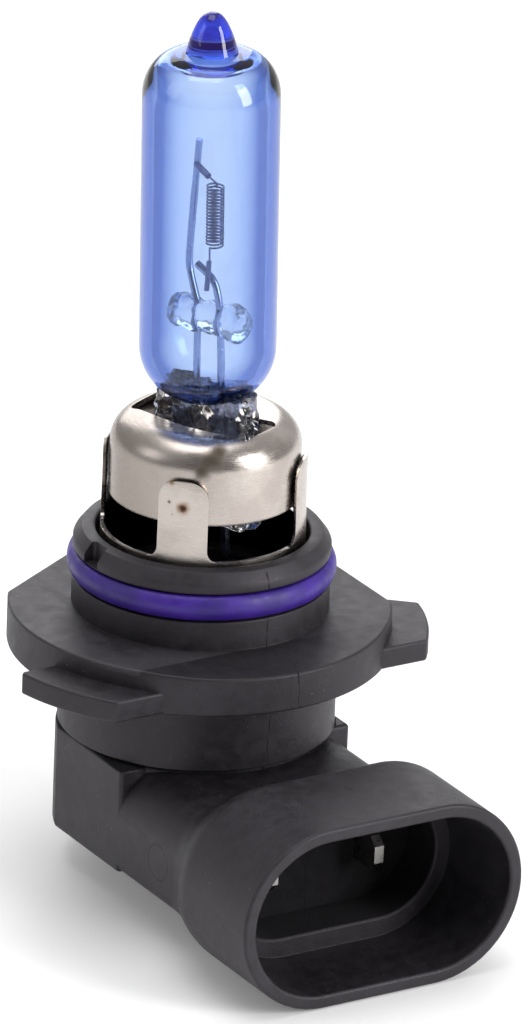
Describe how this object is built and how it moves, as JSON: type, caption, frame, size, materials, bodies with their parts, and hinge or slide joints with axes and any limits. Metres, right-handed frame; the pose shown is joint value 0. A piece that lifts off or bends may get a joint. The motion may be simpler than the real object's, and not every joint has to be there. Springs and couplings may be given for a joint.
{
  "type": "headlight bulb",
  "caption": "Right-angle halogen headlight bulb: blue glass capsule in a plated cap, plastic base with a sealing ring, locking lugs and a two-blade connector hood.",
  "frame": {"origin": "centre of the flange's upper reference face, on the lamp's axis", "axes": "+Z along the lamp's axis towards the glass tip; -Y is the way the connector opens"},
  "size_m": [0.0347, 0.046, 0.07],
  "materials": {
    "black_plastic": "moulded, fine matt grain",
    "purple_silicone": "soft satin",
    "holder_plastic": "moulded, matt",
    "sealing_compound": "cast, slightly glossy",
    "tinned_brass": "tin plated",
    "plated_steel": "nickel plated, satin",
    "blue_glass": "clear, blue tinted",
    "clear_quartz": "clear, fire polished",
    "tungsten": "drawn wire",
    "molybdenum": "drawn wire"
  },
  "bodies": {
    "root": {"base_housing": "black_plastic", "o_ring": "purple_silicone", "terminal_holder": "holder_plastic", "potting_seal": "sealing_compound", "terminal_left": "tinned_brass", "terminal_right": "tinned_brass", "lead_ferrule_left": "tinned_brass", "lead_ferrule_right": "tinned_brass", "clip_ring": "plated_steel", "metal_cap": "plated_steel", "glass_envelope": "blue_glass", "quartz_bridge": "clear_quartz", "filament_coil": "tungsten", "long_support_wire": "molybdenum", "short_support_wire": "molybdenum", "upper_filament_clamp": "molybdenum", "lower_filament_clamp": "molybdenum", "foil_left": "molybdenum", "foil_right": "molybdenum", "outer_lead_left": "molybdenum", "outer_lead_right": "molybdenum"}
  },
  "joints": []
}
